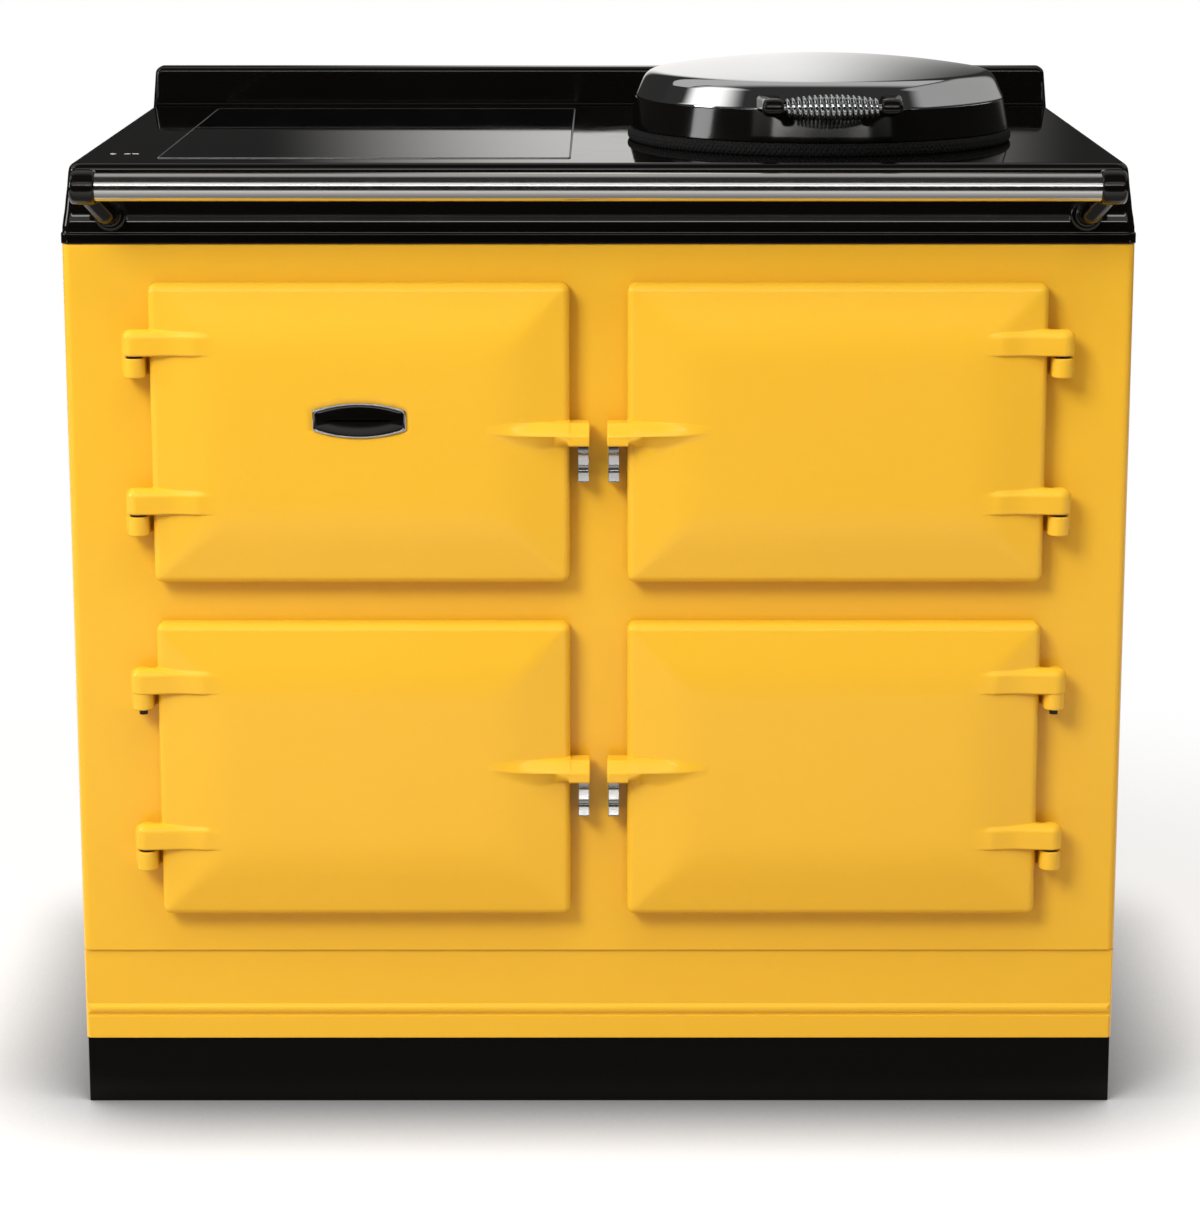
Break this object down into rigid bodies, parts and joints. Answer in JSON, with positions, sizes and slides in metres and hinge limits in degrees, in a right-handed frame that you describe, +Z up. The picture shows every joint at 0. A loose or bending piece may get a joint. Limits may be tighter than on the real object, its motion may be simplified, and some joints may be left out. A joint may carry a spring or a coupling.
{
  "type": "range cooker",
  "caption": "Cast iron range cooker with enamelled hinged doors, an induction glass, a lidded round hotplate with coil handle, a towel rail and a plinth.",
  "frame": {"origin": "on the floor, midway between the sides, and midway between the front of the rail brackets and the rear edge", "axes": "+X to the right seen from the front, +Y to the rear, +Z up"},
  "size_m": [0.987, 0.7012, 0.9863],
  "materials": {
    "yellow_enamel": "vitreous enamel, high gloss",
    "black_enamel": "vitreous enamel, high gloss",
    "black_steel": "satin black paint",
    "yellow_steel": "gloss enamel",
    "chrome": "polished chrome plate",
    "bright_steel": "brushed stainless steel",
    "zinc_steel": "zinc plated, dull",
    "oven_enamel": "dark speckled enamel",
    "machined_iron": "machined and seasoned",
    "hob_glass": "glass ceramic, black, polished",
    "rope_seal": "woven glass rope, matt",
    "mineral_wool": "mineral wool",
    "copper": "wound copper",
    "element_metal": "heat-stained tube",
    "knob_plastic": "phenolic, gloss",
    "switch_plastic": "moulded",
    "lamp_lens": "clear amber lens"
  },
  "bodies": {
    "range": {"plinth": "black_steel", "levelling_feet": "zinc_steel", "base_plate": "zinc_steel", "base_moulding": "yellow_enamel", "front_plate": "yellow_enamel", "hinge_bosses": "yellow_enamel", "side_panels": "yellow_steel", "back_panel": "zinc_steel", "top_plate": "black_enamel", "rear_upstand": "black_enamel", "towel_rail": "chrome", "rail_brackets": "black_enamel", "hob_glass": "hob_glass", "induction_tray": "zinc_steel", "induction_coils": "copper", "hotplate": "machined_iron", "hotplate_rim": "chrome", "hotplate_seal": "rope_seal", "hotplate_cup": "mineral_wool", "lid_hinge_bracket": "black_enamel", "hinge_pins": "bright_steel", "upper_right_oven": "oven_enamel", "lower_right_oven": "oven_enamel", "lower_left_oven": "oven_enamel", "heating_elements": "element_metal", "oven_shelves": "chrome", "control_box": "zinc_steel", "control_fascia": "black_steel", "control_switches": "switch_plastic", "indicator_lamps": "lamp_lens", "core_insulation": "mineral_wool", "door_catches": "chrome", "casing_screws": "zinc_steel", "terminal_box": "black_steel"},
    "upper_left_door_assembly": {"upper_left_door": "yellow_enamel", "upper_left_door_liner": "bright_steel", "badge_plate": "black_enamel"},
    "upper_right_door_assembly": {"upper_right_door": "yellow_enamel", "upper_right_door_liner": "bright_steel", "upper_right_door_insulation": "mineral_wool", "upper_right_door_seal": "rope_seal"},
    "lower_left_door_assembly": {"lower_left_door": "yellow_enamel", "lower_left_door_liner": "bright_steel", "lower_left_door_insulation": "mineral_wool", "lower_left_door_seal": "rope_seal"},
    "lower_right_door_assembly": {"lower_right_door": "yellow_enamel", "lower_right_door_liner": "bright_steel", "lower_right_door_insulation": "mineral_wool", "lower_right_door_seal": "rope_seal"},
    "knob_1_body": {"knob_1": "knob_plastic"},
    "knob_2_body": {"knob_2": "knob_plastic"},
    "knob_3_body": {"knob_3": "knob_plastic"},
    "knob_4_body": {"knob_4": "knob_plastic"},
    "lid": {"lid_band": "black_enamel", "lid_dome": "chrome", "lid_liner": "bright_steel", "lid_insulation": "mineral_wool", "lid_handle_brackets": "black_enamel", "lid_handle_rod": "bright_steel", "lid_handle_coil": "chrome", "lid_hinge_arm": "black_enamel"}
  },
  "joints": [
    {"name": "upper_left_door_swing", "type": "hinge", "parent": "range", "child": "upper_left_door_assembly", "pos_m": [-0.426, -0.3004, 0.657], "axis": [0, 0, -1], "range_deg": [0, 115]},
    {"name": "upper_right_door_swing", "type": "hinge", "parent": "range", "child": "upper_right_door_assembly", "pos_m": [0.426, -0.3004, 0.657], "axis": [0, 0, 1], "range_deg": [0, 115]},
    {"name": "lower_left_door_swing", "type": "hinge", "parent": "range", "child": "lower_left_door_assembly", "pos_m": [-0.426, -0.3004, 0.3365], "axis": [0, 0, -1], "range_deg": [0, 115]},
    {"name": "lower_right_door_swing", "type": "hinge", "parent": "range", "child": "lower_right_door_assembly", "pos_m": [0.426, -0.3004, 0.3365], "axis": [0, 0, 1], "range_deg": [0, 115]},
    {"name": "lid_lift", "type": "hinge", "parent": "range", "child": "lid", "pos_m": [0.215, 0.1686, 0.929], "axis": [-1, 0, 0], "range_deg": [0, 85]},
    {"name": "knob_1_turn", "type": "hinge", "parent": "range", "child": "knob_1_body", "pos_m": [-0.3275, -0.2304, 0.642], "axis": [0, 1, 0], "range_deg": [0, 270]},
    {"name": "knob_2_turn", "type": "hinge", "parent": "range", "child": "knob_2_body", "pos_m": [-0.2555, -0.2304, 0.642], "axis": [0, 1, 0], "range_deg": [0, 270]},
    {"name": "knob_3_turn", "type": "hinge", "parent": "range", "child": "knob_3_body", "pos_m": [-0.1835, -0.2304, 0.642], "axis": [0, 1, 0], "range_deg": [0, 270]},
    {"name": "knob_4_turn", "type": "hinge", "parent": "range", "child": "knob_4_body", "pos_m": [-0.1115, -0.2304, 0.642], "axis": [0, 1, 0], "range_deg": [0, 270]}
  ]
}
